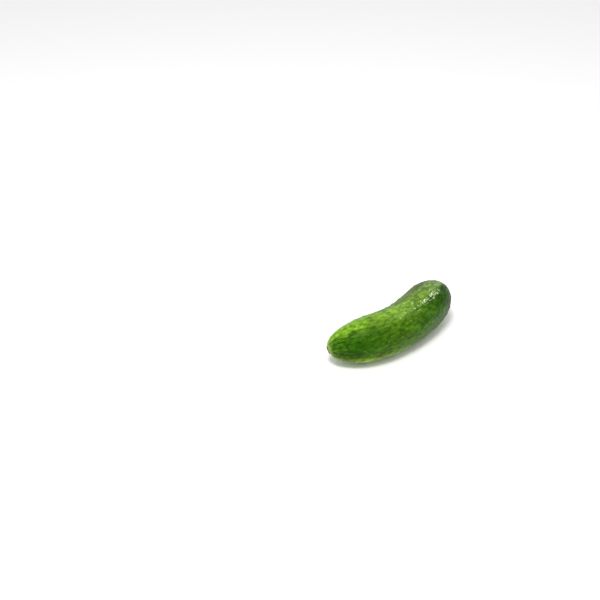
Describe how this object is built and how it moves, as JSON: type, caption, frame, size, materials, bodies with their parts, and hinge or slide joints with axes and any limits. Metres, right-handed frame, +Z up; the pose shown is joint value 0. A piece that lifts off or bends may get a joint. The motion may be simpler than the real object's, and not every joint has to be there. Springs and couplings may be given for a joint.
{
  "type": "mini cucumber",
  "caption": "Small smooth-skinned cucumber, bent to one side, with fine folds at its corky blossom scar and a short cut stalk stub; it lies on its pressed underside.",
  "frame": {"origin": "middle of the underside of the bounding box, on the surface that the fruit lies on", "axes": "+X from the blossom end to the stem end, -Y towards the outer side of the bend, +Z up"},
  "size_m": [0.1356, 0.0484, 0.0379],
  "materials": {
    "skin": "waxy satin green skin, paler towards the blossom end",
    "stem": "dry, matt, pale green"
  },
  "bodies": {
    "root": {"fruit": "skin", "stem_stub": "stem"}
  },
  "joints": []
}
